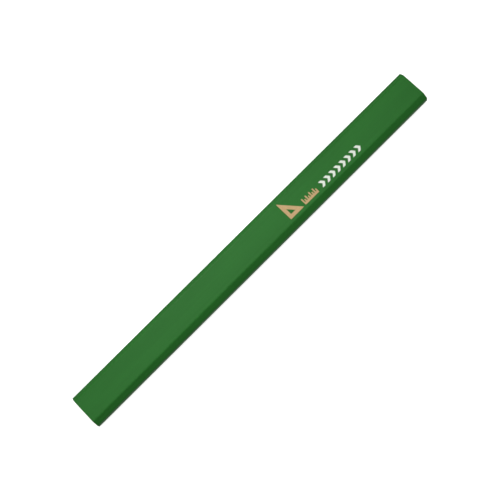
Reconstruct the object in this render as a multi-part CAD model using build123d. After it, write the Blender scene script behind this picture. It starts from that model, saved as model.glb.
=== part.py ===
"""Flat carpenter pencil, not yet sharpened.

Two wooden slats are glued up around a rectangular graphite lead, shaped to a flattened octagon,
primed, lacquered, trimmed square at both ends and printed on the upper face.

Millimetres. The origin is at the middle of the underside, +X runs along the pencil towards the end
that the chevrons point to, +Y runs across the wide faces and +Z is up.
"""
import os

from build123d import *

# Finished pencil: 7 in long and a nominal 9/32 in thick, with 45 degree bevels on the long edges
LENGTH = 177.8
WIDTH = 14.7
THICKNESS = 7.1
BEVEL = 2.0
RIDGE_RADIUS = 1.0

# Coats on the wood
LACQUER_FILM = 0.12
PRIMER_FILM = 0.08
WOOD_INSET = LACQUER_FILM + PRIMER_FILM

# Lead and the glue that holds it
LEAD_WIDTH = 5.2
LEAD_THICKNESS = 2.2
LEAD_CORNER = 0.45
BEDDING_FILM = 0.08
GLUE_FILM = 0.06
MID_HEIGHT = THICKNESS / 2
GROOVE_HALF_WIDTH = LEAD_WIDTH / 2 + BEDDING_FILM

# Printed marks, which share one lower edge on the upper face
INK_FILM = 0.02
PRINT_BASE_Y = -3.9
SMALL_MARK_HEIGHT = 2.8

SQUARE_X = 18.0
SQUARE_LEG_ALONG = 7.0
SQUARE_LEG_ACROSS = 8.4
SQUARE_BLADE = 1.5

RULE_X = 26.0
RULE_DIVISIONS = 8
RULE_PITCH = 0.96
RULE_TICK = 0.54
RULE_SPINE = 0.95
RULE_SHORT_TICK = 0.68

CHEVRON_X = 35.3
CHEVRON_COUNT = 8
CHEVRON_PITCH = 2.76
CHEVRON_REACH = 1.1
CHEVRON_STROKE = 1.3


def section(inset):
    """The pencil's cross-section, taken in by inset all round, as a face in the YZ plane."""
    half, flat = WIDTH / 2, WIDTH / 2 - BEVEL
    low, high = BEVEL, THICKNESS - BEVEL
    right = [(flat, 0), (half, low), (half, high), (flat, THICKNESS)]
    left = [(-y, z) for y, z in reversed(right)]
    with BuildSketch(Plane.YZ) as sketch:
        Polygon(*right, *left, align=None)
        if inset:
            offset(amount=-inset, kind=Kind.INTERSECTION)
        fillet(sketch.vertices(), RIDGE_RADIUS - inset)
    return sketch.sketch


def lead_section(grow):
    """The lead's cross-section, let out by grow all round."""
    with BuildSketch(Plane.YZ) as sketch:
        with Locations((0, MID_HEIGHT)):
            RectangleRounded(LEAD_WIDTH + 2 * grow, LEAD_THICKNESS + 2 * grow, LEAD_CORNER + grow)
    return sketch.sketch


def full_length(face):
    """A face in the YZ plane as a bar of the pencil's length, centred on X."""
    return extrude(face, amount=LENGTH / 2, dir=(1, 0, 0), both=True)


def band(y_low, y_high, z_low, z_high):
    """A full-length bar of rectangular section."""
    size = (LENGTH, y_high - y_low, z_high - z_low)
    return Pos(0, (y_low + y_high) / 2, (z_low + z_high) / 2) * Box(*size)


def slat(upper):
    """One half of the casing, with its half of the groove for the lead."""
    parting = MID_HEIGHT + GLUE_FILM / 2 if upper else MID_HEIGHT - GLUE_FILM / 2
    keep_low, keep_high = (parting, THICKNESS) if upper else (0, parting)
    blank = full_length(section(WOOD_INSET)) & band(-WIDTH, WIDTH, keep_low, keep_high)
    return blank - full_length(lead_section(BEDDING_FILM))


def glue_line(side):
    """The cured film between the slats on one side of the lead, -1 for right and 1 for left."""
    inner, outer = GROOVE_HALF_WIDTH, WIDTH / 2 - WOOD_INSET
    y_low, y_high = sorted((side * inner, side * outer))
    return band(y_low, y_high, MID_HEIGHT - GLUE_FILM / 2, MID_HEIGHT + GLUE_FILM / 2)


def coat(outer_inset, film):
    """One film round the casing, open at the two sawn ends."""
    return full_length(section(outer_inset)) - full_length(section(outer_inset + film))


def ink(face):
    """A flat mark drawn in XY, as a film on the upper face."""
    return extrude(Pos(0, 0, THICKNESS) * face, amount=INK_FILM)


def polygon(points):
    """A face in XY through these points."""
    return make_face(Polyline(*points, close=True))


def set_square_mark():
    """A drafting triangle with a window that leaves every blade equally wide."""
    corners = [
        (SQUARE_X, PRINT_BASE_Y),
        (SQUARE_X + SQUARE_LEG_ALONG, PRINT_BASE_Y),
        (SQUARE_X, PRINT_BASE_Y + SQUARE_LEG_ACROSS),
    ]
    triangle = polygon(corners)
    return triangle - offset(triangle, amount=-SQUARE_BLADE, kind=Kind.INTERSECTION)


def rule_mark():
    """A strip with graduations, every other one short."""
    length = (RULE_DIVISIONS - 1) * RULE_PITCH + RULE_TICK
    spine = polygon(rectangle_points(RULE_X, PRINT_BASE_Y, length, RULE_SPINE))
    for i in range(RULE_DIVISIONS):
        height = SMALL_MARK_HEIGHT * (1 if i % 2 == 0 else RULE_SHORT_TICK)
        spine += polygon(rectangle_points(RULE_X + i * RULE_PITCH, PRINT_BASE_Y, RULE_TICK, height))
    return spine


def rectangle_points(x, y, length, height):
    """Corners of an upright rectangle with its lower left corner at x, y."""
    return [(x, y), (x + length, y), (x + length, y + height), (x, y + height)]


def chevron_mark(index):
    """One chevron of the row, pointing along +X."""
    x = CHEVRON_X + index * CHEVRON_PITCH
    low, mid, high = PRINT_BASE_Y, PRINT_BASE_Y + SMALL_MARK_HEIGHT / 2, PRINT_BASE_Y + SMALL_MARK_HEIGHT
    return polygon(
        [
            (x, low),
            (x + CHEVRON_STROKE, low),
            (x + CHEVRON_STROKE + CHEVRON_REACH, mid),
            (x + CHEVRON_STROKE, high),
            (x, high),
            (x + CHEVRON_REACH, mid),
        ]
    )


def build_nodes():
    """Every sub-part by node name."""
    bedding = full_length(lead_section(BEDDING_FILM)) - full_length(lead_section(0))
    return {
        "casing_upper_slat": slat(upper=True),
        "casing_lower_slat": slat(upper=False),
        "lead_core": full_length(lead_section(0)),
        "lead_bedding_glue": bedding,
        "glue_line_left": glue_line(1),
        "glue_line_right": glue_line(-1),
        "primer_coat": coat(LACQUER_FILM, PRIMER_FILM),
        "green_lacquer_coat": coat(0, LACQUER_FILM),
        "set_square_print": ink(set_square_mark()),
        "rule_print": ink(rule_mark()),
        "chevron_print": Compound(children=[ink(chevron_mark(i)) for i in range(CHEVRON_COUNT)]),
    }


os.makedirs("parts", exist_ok=True)
for node, shape in build_nodes().items():
    export_step(shape, f"parts/{node}.step")
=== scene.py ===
import math

import bmesh
import bpy
import numpy as np
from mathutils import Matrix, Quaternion, Vector, noise


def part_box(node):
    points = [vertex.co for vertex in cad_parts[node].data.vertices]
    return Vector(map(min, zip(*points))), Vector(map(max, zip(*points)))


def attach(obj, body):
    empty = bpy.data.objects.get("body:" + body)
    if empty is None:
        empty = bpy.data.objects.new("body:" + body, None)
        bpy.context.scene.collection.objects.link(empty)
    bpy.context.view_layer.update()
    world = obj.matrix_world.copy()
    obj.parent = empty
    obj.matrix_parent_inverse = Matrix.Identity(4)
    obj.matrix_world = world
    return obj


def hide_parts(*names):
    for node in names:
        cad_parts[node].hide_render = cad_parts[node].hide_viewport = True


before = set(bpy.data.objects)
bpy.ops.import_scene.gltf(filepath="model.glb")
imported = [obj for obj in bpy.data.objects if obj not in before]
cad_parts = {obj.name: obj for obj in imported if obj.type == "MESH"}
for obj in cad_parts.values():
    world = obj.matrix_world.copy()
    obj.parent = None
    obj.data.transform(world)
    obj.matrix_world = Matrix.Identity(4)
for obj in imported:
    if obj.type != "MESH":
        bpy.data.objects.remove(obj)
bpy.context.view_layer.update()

# The CAD box, kept from straight after loading
BODY = "root"
MM = 0.001

# CAD nodes
LACQUER = "green_lacquer_coat"
PRIMER = "primer_coat"
UPPER_SLAT = "casing_upper_slat"
LOWER_SLAT = "casing_lower_slat"
LEAD = "lead_core"
BEDDING = "lead_bedding_glue"
LEFT_GLUE = "glue_line_left"
RIGHT_GLUE = "glue_line_right"
SET_SQUARE = "set_square_print"
RULE = "rule_print"
CHEVRONS = "chevron_print"

# Numbers kept on the wood's points for its material
LATE_WOOD = "late_wood"
DUST = "graphite_dust"

# The lacquer's box is the whole pencil's, apart from the ink on top
LOW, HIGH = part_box(LACQUER)
CENTRE = (LOW + HIGH) / 2
LENGTH = HIGH.x - LOW.x
LEAD_LOW, LEAD_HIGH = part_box(LEAD)


# ---------------------------------------------------------------- camera, floor and light

# The camera stands over the near edge of the pencil and is turned about its own axis,
# so that the pencil runs from the lower left to the upper right of the picture
VIEW_AZIMUTH = math.radians(-15.5)
VIEW_ELEVATION = math.radians(75.4)
VIEW_ROLL = math.radians(-29.8)
VIEW_DISTANCE = 0.45
LENS = 84.3
SHIFT = (-0.0037, -0.0046)

NEAR_CLIP, FAR_CLIP = 0.01, 20

STAGE_REACH = 3.0
BACKDROP_SIDES = 48
BACKDROP_GLOW = 1.0
FLOOR_GAP = 0.02 * MM
WHITE = (1.0, 1.0, 1.0)
PAPER_WHITE = (0.9, 0.9, 0.9)
PAPER_ROUGHNESS, PAPER_GLOSS = 0.9, 0.1
FLOOR_GLOW = 0.75
SURROUND = 0.32


def direction(azimuth, elevation):
    """Unit vector from the pencil towards something at this azimuth and elevation."""
    level = math.cos(elevation)
    return Vector((math.sin(azimuth) * level, -math.cos(azimuth) * level, math.sin(elevation)))


def aim(obj, place, target, roll=0.0):
    """Puts obj at place with its -Z towards target, then turns it by roll about that line."""
    obj.location = place
    obj.rotation_mode = "QUATERNION"
    look = (Vector(target) - Vector(place)).to_track_quat("-Z", "Y")
    obj.rotation_quaternion = look @ Quaternion((0, 0, 1), roll)


def link(name, data):
    """A new object in the scene."""
    obj = bpy.data.objects.new(name, data)
    bpy.context.scene.collection.objects.link(obj)
    return obj


def new_mesh(name, vertices, faces):
    """A mesh from points and faces."""
    mesh = bpy.data.meshes.new(name)
    mesh.from_pydata(vertices, [], faces)
    return mesh


def make_camera():
    """The picture's camera."""
    data = bpy.data.cameras.new("camera")
    data.lens = LENS
    data.shift_x, data.shift_y = SHIFT
    data.clip_start, data.clip_end = NEAR_CLIP, FAR_CLIP
    camera = link("camera", data)
    place = CENTRE + VIEW_DISTANCE * direction(VIEW_AZIMUTH, VIEW_ELEVATION)
    aim(camera, place, CENTRE, VIEW_ROLL)
    bpy.context.scene.camera = camera


def soft_box(name, azimuth, elevation, distance, size, power, along=0.0):
    """A soft box, length by width, facing the pencil along metres from its middle. Angles are in degrees."""
    data = bpy.data.lights.new(name, "AREA")
    data.shape = "RECTANGLE"
    data.size, data.size_y = size
    data.energy = power
    target = CENTRE + Vector((along, 0, 0))
    place = target + distance * direction(math.radians(azimuth), math.radians(elevation))
    light = link(name, data)
    aim(light, place, target)
    return light


def make_lights():
    """A long soft box above, a small one that lifts the middle of the pencil, and one off each end."""
    soft_box("overhead", azimuth=180, elevation=82, distance=0.15, size=(0.3, 0.15), power=0.125)
    soft_box("near", azimuth=180, elevation=46, distance=0.15, size=(0.1, 0.1), power=0.075,
             along=-0.012)
    for name, azimuth in (("front_end", 90), ("back_end", -90)):
        fill = soft_box(name, azimuth, elevation=8, distance=0.45, size=(0.25, 0.2), power=0.3)
        # Low lights would whiten the whole length of the lacquer with glare
        fill.visible_glossy = False


def stage_piece(name, vertices, faces, glow):
    """Part of the white studio, whose own light is kept off the pencil."""
    mesh = new_mesh(name, vertices, faces)
    piece = link(name, mesh)
    n = Nodes(name + "_white")
    n.set(Base_Color=PAPER_WHITE, Roughness=PAPER_ROUGHNESS, Specular_IOR_Level=PAPER_GLOSS)
    n.set(Emission_Color=WHITE, Emission_Strength=glow)
    mesh.materials.append(n.material)
    piece.visible_glossy = False
    piece.visible_diffuse = False
    return piece


def make_stage():
    """A plain white table, and a round white backdrop that only shows in low views."""
    x, y, z = STAGE_REACH, STAGE_REACH, LOW.z - FLOOR_GAP
    stage_piece("floor", [(-x, -y, z), (x, -y, z), (x, y, z), (-x, y, z)], [(0, 1, 2, 3)], FLOOR_GLOW)
    turns = [2 * math.pi * k / BACKDROP_SIDES for k in range(BACKDROP_SIDES)]
    wall = [(x * math.cos(a), y * math.sin(a), height) for height in (z, STAGE_REACH) for a in turns]
    panels = []
    for k in range(BACKDROP_SIDES):
        beside = (k + 1) % BACKDROP_SIDES
        panels.append((k, beside, beside + BACKDROP_SIDES, k + BACKDROP_SIDES))
    stage_piece("backdrop", wall, panels, BACKDROP_GLOW).visible_shadow = False


def make_world():
    """Even, pale surroundings."""
    world = bpy.data.worlds.new("studio")
    world.use_nodes = True
    sky = world.node_tree.nodes["Background"]
    sky.inputs["Color"].default_value = (*WHITE, 1)
    sky.inputs["Strength"].default_value = SURROUND
    bpy.context.scene.world = world


# ---------------------------------------------------------------- node helpers


# Most of a noise texture's values lie between these two
NOISE_LOW, NOISE_HIGH = 0.35, 0.65


class Nodes:
    """Short calls for building one material's node tree."""

    def __init__(self, name):
        self.material = bpy.data.materials.new(name)
        self.material.use_nodes = True
        self.tree = self.material.node_tree
        self.shader = self.tree.nodes["Principled BSDF"]
        self.place = self.add("ShaderNodeTexCoord").outputs["Object"]

    def add(self, kind, **settings):
        """A node with these attributes."""
        node = self.tree.nodes.new(kind)
        for key, value in settings.items():
            setattr(node, key, value)
        return node

    def join(self, socket, value):
        """Feeds a socket from another socket or a plain value."""
        if isinstance(value, bpy.types.NodeSocket):
            self.tree.links.new(value, socket)
        elif socket.type == "RGBA":
            socket.default_value = (*value, 1)
        else:
            socket.default_value = value

    def noise(self, waves, detail=3.0, roughness=0.5):
        """Noise from 0 to 1, with this many waves to the millimetre on each axis."""
        mapping = self.add("ShaderNodeMapping")
        self.join(mapping.inputs["Vector"], self.place)
        mapping.inputs["Scale"].default_value = [count / MM for count in waves]
        node = self.add("ShaderNodeTexNoise")
        self.join(node.inputs["Vector"], mapping.outputs["Vector"])
        node.inputs["Scale"].default_value = 1
        node.inputs["Detail"].default_value = detail
        node.inputs["Roughness"].default_value = roughness
        return node.outputs["Fac"]

    def attribute(self, name):
        """A number stored on the mesh."""
        return self.add("ShaderNodeAttribute", attribute_name=name).outputs["Fac"]

    def maths(self, operation, a, b=0.0):
        """One math node."""
        node = self.add("ShaderNodeMath", operation=operation)
        self.join(node.inputs[0], a)
        self.join(node.inputs[1], b)
        return node.outputs["Value"]

    def blend(self, share, a, b):
        """a times share plus b times the rest."""
        return self.maths("ADD", self.maths("MULTIPLY", a, share), self.maths("MULTIPLY", b, 1 - share))

    def spread(self, value, out_low=0.0, out_high=1.0, low=NOISE_LOW, high=NOISE_HIGH):
        """value mapped smoothly from low..high to out_low..out_high and clamped."""
        node = self.add("ShaderNodeMapRange", interpolation_type="SMOOTHSTEP")
        names = ("Value", "From Min", "From Max", "To Min", "To Max")
        for key, number in zip(names, (value, low, high, out_low, out_high)):
            self.join(node.inputs[key], number)
        return node.outputs["Result"]

    def mix(self, factor, a, b):
        """Two colours mixed by factor."""
        node = self.add("ShaderNodeMix", data_type="RGBA")
        colour_a, colour_b = [socket for socket in node.inputs if socket.type == "RGBA"]
        self.join(node.inputs["Factor"], factor)
        self.join(colour_a, a)
        self.join(colour_b, b)
        return next(socket for socket in node.outputs if socket.type == "RGBA")

    def bump(self, height, depth):
        """Bends the shader's normal by height, where 1 stands depth metres proud."""
        node = self.add("ShaderNodeBump")
        node.inputs["Distance"].default_value = depth
        self.join(node.inputs["Height"], height)
        self.join(self.shader.inputs["Normal"], node.outputs["Normal"])

    def set(self, **values):
        """Sets or links the shader's inputs, named with underscores for spaces."""
        for key, value in values.items():
            self.join(self.shader.inputs[key.replace("_", " ")], value)


# ---------------------------------------------------------------- materials

# Each pair is the darkest and the lightest shade of a material
GREEN_SHADES = (0.0163, 0.155, 0.0165), (0.0193, 0.174, 0.0195)
PRIMER_SHADES = (0.56, 0.55, 0.49), (0.68, 0.67, 0.60)
TAN_SHADES = (0.55, 0.355, 0.155), (0.68, 0.455, 0.22)
WHITE_SHADES = (0.80, 0.88, 0.77), (0.90, 0.96, 0.87)
GLUE_SHADES = (0.34, 0.20, 0.08), (0.50, 0.34, 0.17)
GRAPHITE_SHADES = (0.03, 0.03, 0.033), (0.075, 0.075, 0.08)
EARLY_WOOD_SHADES = (0.67, 0.485, 0.30), (0.79, 0.61, 0.41)
LATE_WOOD_SHADES = (0.48, 0.31, 0.165), (0.58, 0.395, 0.225)
CLAY_SPECK = (0.15, 0.15, 0.155)
DUST_SHADE = (0.12, 0.11, 0.105)

# Waves to the millimetre of each noise, on each axis
CLOUD_WAVES = (0.03, 0.12, 0.12)
STREAK_WAVES = (0.012, 1.3, 1.3)
PEEL_WAVES = (0.7, 0.7, 0.7)
GRIT_WAVES = (6, 6, 6)
COVER_WAVES = (3.5, 3.5, 3.5)
AMBER_WAVES = (2.5, 2.5, 2.5)
DRAG_WAVES = (1.5, 0.8, 14)
GRAIN_WAVES = (9, 9, 9)
PORE_WAVES = (0.25, 9, 9)

# Roughness where the noise behind it is lowest and where it is highest
LACQUER_ROUGHNESS = 0.35, 0.43
PRIMER_ROUGHNESS = 0.7, 0.8
INK_ROUGHNESS = 0.48, 0.38
GLUE_ROUGHNESS = 0.35, 0.5
GRAPHITE_ROUGHNESS = 0.3, 0.5
WOOD_ROUGHNESS = 0.6, 0.8

LACQUER_GLOSS, INK_GLOSS, WOOD_GLOSS = 0.21, 0.35, 0.3
GRAPHITE_METALLIC = 0.35

# The first noise's share in each blend of two
CLOUD_SHARE, PEEL_SHARE, EVEN_SHARE = 0.6, 0.7, 0.5

# Only the highest grain shows as clay, and dust takes best on open fibre
SPECK_LOW, SPECK_HIGH = 0.66, 0.74
OPEN_LOW, OPEN_HIGH = 0.3, 0.6
SMEAR_LEAST, SMEAR_MOST = 0.3, 0.9

# Heights of the finest relief, which is left to the shader
LACQUER_BUMP = 0.005 * MM
INK_BUMP = 0.004 * MM
GRIT_BUMP = 0.01 * MM
GRAPHITE_BUMP = 0.012 * MM
FIBRE_BUMP = 0.02 * MM


def lacquer_material():
    """Satin green lacquer, faintly streaked by the wood under it."""
    n = Nodes("green_lacquer_satin")
    cloud = n.noise(CLOUD_WAVES, detail=4)
    streak = n.noise(STREAK_WAVES)
    peel = n.noise(PEEL_WAVES, detail=1)
    n.set(Base_Color=n.mix(n.spread(n.blend(CLOUD_SHARE, cloud, streak)), *GREEN_SHADES))
    n.set(Roughness=n.spread(n.blend(EVEN_SHARE, streak, peel), *LACQUER_ROUGHNESS))
    n.set(Specular_IOR_Level=LACQUER_GLOSS)
    n.bump(n.blend(PEEL_SHARE, peel, streak), LACQUER_BUMP)
    return n.material


def primer_material():
    """Chalky off-white primer, seen edge on."""
    n = Nodes("primer_chalk")
    grit = n.noise(GRIT_WAVES)
    n.set(Base_Color=n.mix(grit, *PRIMER_SHADES))
    n.set(Roughness=n.spread(grit, *PRIMER_ROUGHNESS))
    n.bump(grit, GRIT_BUMP)
    return n.material


def ink_material(name, shades):
    """Stamped ink with fine variation in its cover."""
    n = Nodes(name)
    cover = n.noise(COVER_WAVES, detail=4, roughness=0.65)
    n.set(Base_Color=n.mix(n.spread(cover), *shades))
    n.set(Roughness=n.spread(cover, *INK_ROUGHNESS))
    n.set(Specular_IOR_Level=INK_GLOSS)
    n.bump(cover, INK_BUMP)
    return n.material


def glue_material():
    """Cured amber glue."""
    n = Nodes("wood_glue_amber")
    amber = n.noise(AMBER_WAVES)
    n.set(Base_Color=n.mix(amber, *GLUE_SHADES))
    n.set(Roughness=n.spread(amber, *GLUE_ROUGHNESS))
    n.bump(amber, GRIT_BUMP)
    return n.material


def graphite_material():
    """Sanded graphite and clay: a grey sheen broken by drag lines and pale clay specks."""
    n = Nodes("graphite_sanded")
    drag = n.noise(DRAG_WAVES, detail=4, roughness=0.6)
    grain = n.noise(GRAIN_WAVES)
    body = n.mix(n.spread(drag), *GRAPHITE_SHADES)
    specks = n.spread(grain, low=SPECK_LOW, high=SPECK_HIGH)
    n.set(Base_Color=n.mix(specks, body, CLAY_SPECK))
    n.set(Roughness=n.spread(drag, *GRAPHITE_ROUGHNESS), Metallic=GRAPHITE_METALLIC)
    n.bump(n.blend(EVEN_SHARE, drag, grain), GRAPHITE_BUMP)
    return n.material


def wood_material(name):
    """Pale sanded end grain: darker late wood, open fibre, and graphite dust dragged over it."""
    n = Nodes(name)
    fibre = n.noise(PORE_WAVES)
    early, late = n.mix(fibre, *EARLY_WOOD_SHADES), n.mix(fibre, *LATE_WOOD_SHADES)
    wood = n.mix(n.attribute(LATE_WOOD), early, late)
    hold = n.spread(fibre, SMEAR_LEAST, SMEAR_MOST, OPEN_LOW, OPEN_HIGH)
    smear = n.maths("MULTIPLY", n.attribute(DUST), hold)
    n.set(Base_Color=n.mix(smear, wood, DUST_SHADE))
    n.set(Roughness=n.spread(fibre, *WOOD_ROUGHNESS))
    n.set(Specular_IOR_Level=WOOD_GLOSS)
    n.bump(fibre, FIBRE_BUMP)
    return n.material


# ---------------------------------------------------------------- outlines read off the CAD

SAME_PLACE = 1e-7
PLACE_DECIMALS = 7
NO_AREA = 1e-13


def turn(a, b, c):
    """Twice the area of the triangle a, b, c, above 0 where it turns left."""
    return (b[0] - a[0]) * (c[1] - a[1]) - (b[1] - a[1]) * (c[0] - a[0])


def half_outline(points):
    """One side of the convex outline through sorted points."""
    chain = []
    for point in points:
        while len(chain) > 1 and turn(chain[-2], chain[-1], point) <= NO_AREA:
            chain.pop()
        chain.append(point)
    return chain[:-1]


def outline(*nodes):
    """The convex outline of CAD nodes seen along X: (y, z) corners from the lowest y, lower side first."""
    points = set()
    for node in nodes:
        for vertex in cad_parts[node].data.vertices:
            points.add((round(vertex.co.y, PLACE_DECIMALS), round(vertex.co.z, PLACE_DECIMALS)))
    points = sorted(points)
    return np.array(half_outline(points) + half_outline(points[::-1]))


def steps(loop, pitch):
    """Places along a closed loop about pitch apart, as its corners' numbers plus fractions."""
    places = []
    for corner, (start, end) in enumerate(zip(loop, np.roll(loop, -1, axis=0))):
        count = max(1, math.ceil(np.linalg.norm(end - start) / pitch))
        places += [corner + part / count for part in range(count)]
    return np.array(places)


def along(loop, places):
    """The points of a closed loop at these places."""
    corners = np.floor(places).astype(int)
    part = (places - corners)[:, None]
    return loop[corners % len(loop)] * (1 - part) + loop[(corners + 1) % len(loop)] * part


def half_path(loop, limit, upper, count):
    """count points along an outline's part above or below limit, from the lowest y to the highest."""
    kept = loop[loop[:, 1] > limit][::-1] if upper else loop[loop[:, 1] < limit]
    start, end = (loop[:, 0].min(), limit), (loop[:, 0].max(), limit)
    path = np.concatenate([[start], kept, [end]])
    reach = np.concatenate([[0], np.cumsum(np.linalg.norm(np.diff(path, axis=0), axis=1))])
    wanted = np.linspace(0, reach[-1], count)
    return np.column_stack([np.interp(wanted, reach, path[:, axis]) for axis in (0, 1)])


# ---------------------------------------------------------------- meshes

SHARP_ANGLE = math.radians(35)


def smooth_noise(x, y, z, waves, seed):
    """Noise from -1 to 1 at a point in metres, with this many waves to the millimetre on each axis."""
    point = Vector((x * waves[0], y * waves[1], z * waves[2])) / MM
    return noise.noise(point + Vector((seed, seed, seed)))


def level_noise(x, y, z, waves, seed):
    """The same noise from 0 to 1."""
    return 0.5 + 0.5 * smooth_noise(x, y, z, waves, seed)


def rise(value, low, high):
    """0 below low, 1 above high and smooth between."""
    part = min(1.0, max(0.0, (value - low) / (high - low)))
    return part * part * (3 - 2 * part)


def add_piece(mesh, material, node):
    """A piece that rides on the pencil and stands for a CAD node, with its normals turned outwards."""
    shell = bmesh.new()
    shell.from_mesh(mesh)
    bmesh.ops.remove_doubles(shell, verts=shell.verts, dist=SAME_PLACE)
    bmesh.ops.recalc_face_normals(shell, faces=shell.faces)
    shell.to_mesh(mesh)
    shell.free()
    mesh.polygons.foreach_set("use_smooth", [True] * len(mesh.polygons))
    mesh.set_sharp_from_angle(angle=SHARP_ANGLE)
    mesh.materials.clear()
    mesh.materials.append(material)
    piece = link(mesh.name, mesh)
    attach(piece, BODY)
    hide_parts(node)
    return piece


# ---------------------------------------------------------------- coats

END_STEPS = np.array([0, 0.02, 0.05, 0.1, 0.18, 0.3, 0.5]) * MM
OUTER_PITCH = 0.5 * MM
INNER_SPANS = 12

# How far through a film a ring of its points lies
OUTER_FACE, MID_FILM, INNER_FACE = 0.0, 0.5, 1.0

# Long waves left by the planed wood, and a rim that sanding broke unevenly
WAVE_DEPTH = 0.006 * MM
RAGGED_REACH = 0.07 * MM
RAGGED_CHANGE = 0.6
RAGGED_SLOPE = 0.6
CRUMB_REACH = 0.04 * MM
CRUMB_SLOPE = 0.5
BEAD_DEPTH = 0.01 * MM

# The waves and the seed of each noise
PLANED_NOISE = (0.04, 0.25, 0.25), 3.1
RAGGED_NOISE = (0.1, 1.6, 1.6), 8.4
CRUMB_NOISE = (0.1, 3, 3), 5.7
BEAD_NOISE = (0.1, 2, 2), 1.9


def end_inset(x):
    """The distance to the nearer end."""
    return min(x - LOW.x, HIGH.x - x)


def lacquer_sink(x, y, z):
    """How far the lacquer's skin lies under its nominal face."""
    wave = WAVE_DEPTH * (1 + smooth_noise(x, y, z, *PLANED_NOISE))
    ragged = RAGGED_REACH * (1 + RAGGED_CHANGE * smooth_noise(x, y, z, *RAGGED_NOISE))
    return wave + max(0.0, ragged - end_inset(x)) * RAGGED_SLOPE


def primer_sink(x, y, z):
    """The primer crumbles a little at the sanded ends."""
    crumb = CRUMB_REACH * (1 + smooth_noise(x, y, z, *CRUMB_NOISE))
    return max(0.0, crumb - end_inset(x)) * CRUMB_SLOPE


def bedding_sink(x, y, z):
    """The bedding glue fills its gap, apart from small pits."""
    return BEAD_DEPTH * (1 + smooth_noise(x, y, z, *BEAD_NOISE))


def coat_stations():
    """Places along X, close together at both ends."""
    first, last = LOW.x + END_STEPS[-1], HIGH.x - END_STEPS[-1]
    middle = np.linspace(first, last, round((last - first) / OUTER_PITCH))
    return np.concatenate([LOW.x + END_STEPS[:-1], middle, HIGH.x - END_STEPS[-2::-1]])


def coat_piece(name, node, outer, inner, sink, material):
    """A film between two matching outlines, whose outer face lies sink(x, y, z) under its outline."""
    places = steps(outer, OUTER_PITCH)
    outside, inside = along(outer, places), along(inner, places)
    film = np.linalg.norm(outside - inside, axis=1)
    # Once round the film lengthways: the outer face, one end, the inner face and the other end
    rings = [(x, OUTER_FACE) for x in coat_stations()]
    rings += [(HIGH.x, MID_FILM)]
    rings += [(x, INNER_FACE) for x in np.linspace(HIGH.x, LOW.x, INNER_SPANS + 1)]
    rings += [(LOW.x, MID_FILM)]
    vertices = []
    for x, depth in rings:
        for start, end, thick in zip(outside, inside, film):
            share = sink(x, *start) / thick if depth == OUTER_FACE else depth
            y, z = start + (end - start) * share
            vertices.append((x, y, z))
    around, count = len(places), len(rings)
    faces = []
    for ring in range(count):
        for column in range(around):
            beside, below = (column + 1) % around, (ring + 1) % count
            corners = (ring, column), (ring, beside), (below, beside), (below, column)
            faces.append([r * around + c for r, c in corners])
    return add_piece(new_mesh(name, vertices, faces), material, node)


# ---------------------------------------------------------------- wood, lead and glue

LONG_SPANS = 16
SLAT_COLUMNS, SLAT_ROWS = 170, 34
LEAD_COLUMNS, LEAD_ROWS = 130, 44
GLUE_COLUMNS, GLUE_ROWS = 60, 3

# Both ends were sawn off and sanded on a belt that ran this way across them
BELT_SLOPE = math.radians(12)
BELT_NOISE = (0.05, 0.25, 5.0), 6.5

# Growth rings curve round a pith that lies outside the slat and drifts along it
RING_SPACING = 1.15 * MM
RING_WANDER = 0.35
RING_NOISE = (0.01, 0.3, 0.3), 2.6
RING_DRIFT = 0.02
LATE_STARTS, LATE_PEAKS = 0.35, 0.9
UPPER_PITH = (-27 * MM, -15 * MM)
LOWER_PITH = (19 * MM, 26 * MM)

# The relief on the ends
FIBRE_NOISE = (0.05, 7, 7), 4.2
PIT_NOISE = (0.05, 3, 3), 7.3
EARLY_DEPTH = 0.022 * MM
FIBRE_DEPTH = 0.012 * MM
BELT_DEPTH = 0.010 * MM
LEAD_DEPTH = 0.016 * MM
GLUE_DEPTH = 0.018 * MM

DUST_REACH = 1.1 * MM
DUST_MOST = 0.6


def belt_marks(x, y, z):
    """Furrows left by the sanding belt, from 0 to 1."""
    run = y * math.cos(BELT_SLOPE) + z * math.sin(BELT_SLOPE)
    across = z * math.cos(BELT_SLOPE) - y * math.sin(BELT_SLOPE)
    return level_noise(x, run, across, *BELT_NOISE)


def late_wood(x, y, z, pith):
    """How far a point of the wood is into the dark late wood of its growth ring, from 0 to 1."""
    radius = math.hypot(y - pith[0] - RING_DRIFT * x, z - pith[1]) / RING_SPACING
    wander = RING_WANDER * smooth_noise(x, y, z, *RING_NOISE)
    part = (radius + wander) % 1.0
    return rise(part, LATE_STARTS, LATE_PEAKS) * (1 - rise(part, LATE_PEAKS, 1.0))


def graphite_dust(x, y, z):
    """Dust that the belt dragged out of the lead, strongest beside it."""
    beside = max(0.0, LEAD_LOW.y - y, y - LEAD_HIGH.y)
    above = max(0.0, LEAD_LOW.z - z, z - LEAD_HIGH.z)
    near = 1 - rise(math.hypot(beside, above), 0, DUST_REACH)
    return DUST_MOST * near * belt_marks(x, y, z)


def wood_relief(pith):
    """How deep sanding left the wood's ends: early wood and open fibre lie lowest."""

    def sink(x, y, z):
        fibre = level_noise(x, y, z, *FIBRE_NOISE)
        early = 1 - late_wood(x, y, z, pith)
        return EARLY_DEPTH * early + FIBRE_DEPTH * fibre + BELT_DEPTH * belt_marks(x, y, z)

    return sink


def lead_relief(x, y, z):
    """Belt marks across the lead's ends."""
    return LEAD_DEPTH * belt_marks(x, y, z)


def glue_relief(x, y, z):
    """Glue smeared and pitted where the belt crossed it."""
    return GLUE_DEPTH * (1 + smooth_noise(x, y, z, *PIT_NOISE))


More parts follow.
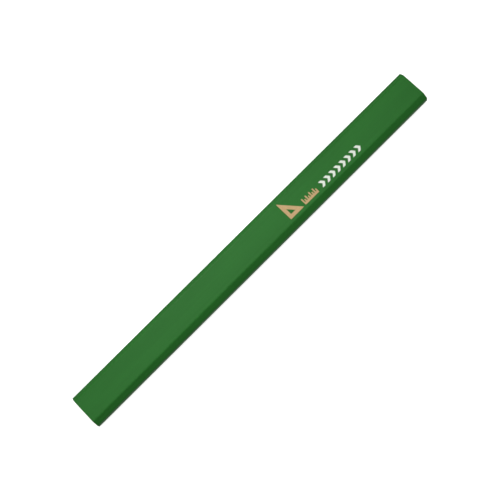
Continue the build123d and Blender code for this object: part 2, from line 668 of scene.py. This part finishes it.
def solid_piece(name, node, first, last, rows, relief, material):
    """A bar whose section lies between two matching paths, its ends sunk by relief(x, y, z)."""
    grid = [first + (last - first) * share for share in np.linspace(0, 1, rows)]
    columns = len(first)
    index, vertices, faces = {}, [], []

    def corner(station, row, column):
        """The number of one point of the bar's skin, made when it is first asked for."""
        key = (station, row, column)
        if key not in index:
            x = LOW.x + LENGTH * station / LONG_SPANS
            y, z = grid[row][column]
            inward = (station == 0) - (station == LONG_SPANS)
            index[key] = len(vertices)
            vertices.append((x + inward * relief(x, y, z), y, z))
        return index[key]

    def cover(points):
        """Quads over one side of the bar, given as rows of its points."""
        for low, high in zip(points, points[1:]):
            for a, b, c, d in zip(low, low[1:], high[1:], high):
                faces.append([corner(*a), corner(*b), corner(*c), corner(*d)])

    stations = range(LONG_SPANS + 1)
    for station in (0, LONG_SPANS):
        cover([[(station, row, column) for column in range(columns)] for row in range(rows)])
    for row in (0, rows - 1):
        cover([[(station, row, column) for column in range(columns)] for station in stations])
    for column in (0, columns - 1):
        cover([[(station, row, column) for row in range(rows)] for station in stations])
    return add_piece(new_mesh(name, vertices, faces), material, node)


def store(piece, name, value):
    """Keeps value(x, y, z) on the piece's points, for its material."""
    mesh = piece.data
    numbers = [value(*vertex.co) for vertex in mesh.vertices]
    mesh.attributes.new(name, "FLOAT", "POINT").data.foreach_set("value", numbers)


def make_slat(name, node, upper, pith):
    """One half of the wooden casing."""
    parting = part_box(node)[0].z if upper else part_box(node)[1].z
    groove = half_path(outline(BEDDING), parting, upper, SLAT_COLUMNS)
    outside = half_path(outline(UPPER_SLAT, LOWER_SLAT), parting, upper, SLAT_COLUMNS)
    relief, material = wood_relief(pith), wood_material(name)
    piece = solid_piece(name, node, groove, outside, SLAT_ROWS, relief, material)
    store(piece, LATE_WOOD, lambda x, y, z: late_wood(x, y, z, pith))
    store(piece, DUST, graphite_dust)


def make_lead():
    """The lead."""
    loop = outline(LEAD)
    flat_side = [z for y, z in loop if y < LEAD_LOW.y + SAME_PLACE]
    low = half_path(loop, min(flat_side), False, LEAD_COLUMNS)
    high = half_path(loop, max(flat_side), True, LEAD_COLUMNS)
    graphite = graphite_material()
    solid_piece("lead_rod", LEAD, low, high, LEAD_ROWS, lead_relief, graphite)


def make_glue_line(name, node, material):
    """The glue film between the slats on one side of the lead."""
    low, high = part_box(node)
    across = np.linspace(low.y, high.y, GLUE_COLUMNS)
    bottom, top = (np.column_stack([across, np.full(GLUE_COLUMNS, z)]) for z in (low.z, high.z))
    solid_piece(name, node, bottom, top, GLUE_ROWS, glue_relief, material)


# ---------------------------------------------------------------- ink

# A stamped mark has soft corners and a rounded rim, and is pressed a little into the lacquer
CORNER_CUT = 0.14 * MM
CORNER_POINTS = 5
INK_ROUND = 0.008 * MM
INK_WALL = 0.013 * MM
INK_PROUD = 0.018 * MM

# A face looks up where its normal's z is above this
LOOKS_UP = 0.5


def upper_loops(node):
    """The outlines of a printed node's upper faces, as lists of (x, y) corners."""
    film = bmesh.new()
    film.from_mesh(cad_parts[node].data)
    bmesh.ops.remove_doubles(film, verts=film.verts, dist=SAME_PLACE)
    film.normal_update()
    following = {}
    for face in film.faces:
        for loop in face.loops:
            rim = all(other.normal.z < LOOKS_UP for other in loop.edge.link_faces if other is not face)
            if face.normal.z > LOOKS_UP and rim:
                following[loop.vert] = loop.link_loop_next.vert
    loops = []
    while following:
        corners, vertex = [], next(iter(following))
        while vertex in following:
            corners.append(vertex.co.to_2d())
            vertex = following.pop(vertex)
        loops.append(corners)
    film.free()
    return loops


def soften(corners):
    """The outline with each corner rounded off."""
    points = []
    for before, corner, after in zip(corners[-1:] + corners[:-1], corners, corners[1:] + corners[:1]):
        back, ahead = before - corner, after - corner
        start = corner + back.normalized() * min(CORNER_CUT, back.length / 2)
        end = corner + ahead.normalized() * min(CORNER_CUT, ahead.length / 2)
        for part in np.linspace(0, 1, CORNER_POINTS):
            points.append(start.lerp(corner, part).lerp(corner.lerp(end, part), part))
    return points


def make_ink(name, node, material):
    """One printed mark."""
    drawing = bpy.data.curves.new(name, "CURVE")
    drawing.dimensions = "2D"
    drawing.fill_mode = "BOTH"
    drawing.extrude, drawing.bevel_depth, drawing.offset = INK_WALL, INK_ROUND, -INK_ROUND
    for corners in upper_loops(node):
        points = soften(corners)
        spline = drawing.splines.new("POLY")
        spline.points.add(len(points) - 1)
        for place, point in zip(spline.points, points):
            place.co = (*point, 0, 1)
        spline.use_cyclic_u = True
    holder = bpy.data.objects.new(name, drawing)
    mesh = bpy.data.meshes.new_from_object(holder)
    mesh.name = name
    height = HIGH.z + INK_PROUD - INK_WALL - INK_ROUND
    for vertex in mesh.vertices:
        vertex.co.z += height
    bpy.data.objects.remove(holder)
    bpy.data.curves.remove(drawing)
    add_piece(mesh, material, node)


# ---------------------------------------------------------------- build


def make_pencil():
    """Every piece, from the skin inwards and then the marks on top."""
    lacquer, primer, wood = outline(LACQUER), outline(PRIMER), outline(UPPER_SLAT, LOWER_SLAT)
    green = lacquer_material()
    coat_piece("lacquer_film", LACQUER, lacquer, primer, lacquer_sink, green)
    coat_piece("primer_film", PRIMER, primer, wood, primer_sink, primer_material())
    make_slat("upper_slat", UPPER_SLAT, True, UPPER_PITH)
    make_slat("lower_slat", LOWER_SLAT, False, LOWER_PITH)
    make_lead()
    glue = glue_material()
    bedding, lead = outline(BEDDING), outline(LEAD)
    coat_piece("bedding_film", BEDDING, bedding, lead, bedding_sink, glue)
    make_glue_line("left_glue_film", LEFT_GLUE, glue)
    make_glue_line("right_glue_film", RIGHT_GLUE, glue)
    tan = ink_material("tan_ink_print", TAN_SHADES)
    white = ink_material("white_ink_print", WHITE_SHADES)
    make_ink("set_square_mark", SET_SQUARE, tan)
    make_ink("rule_mark", RULE, tan)
    make_ink("chevron_marks", CHEVRONS, white)


make_camera()
make_stage()
make_world()
make_lights()
make_pencil()

bpy.context.scene.view_settings.view_transform = "Standard"
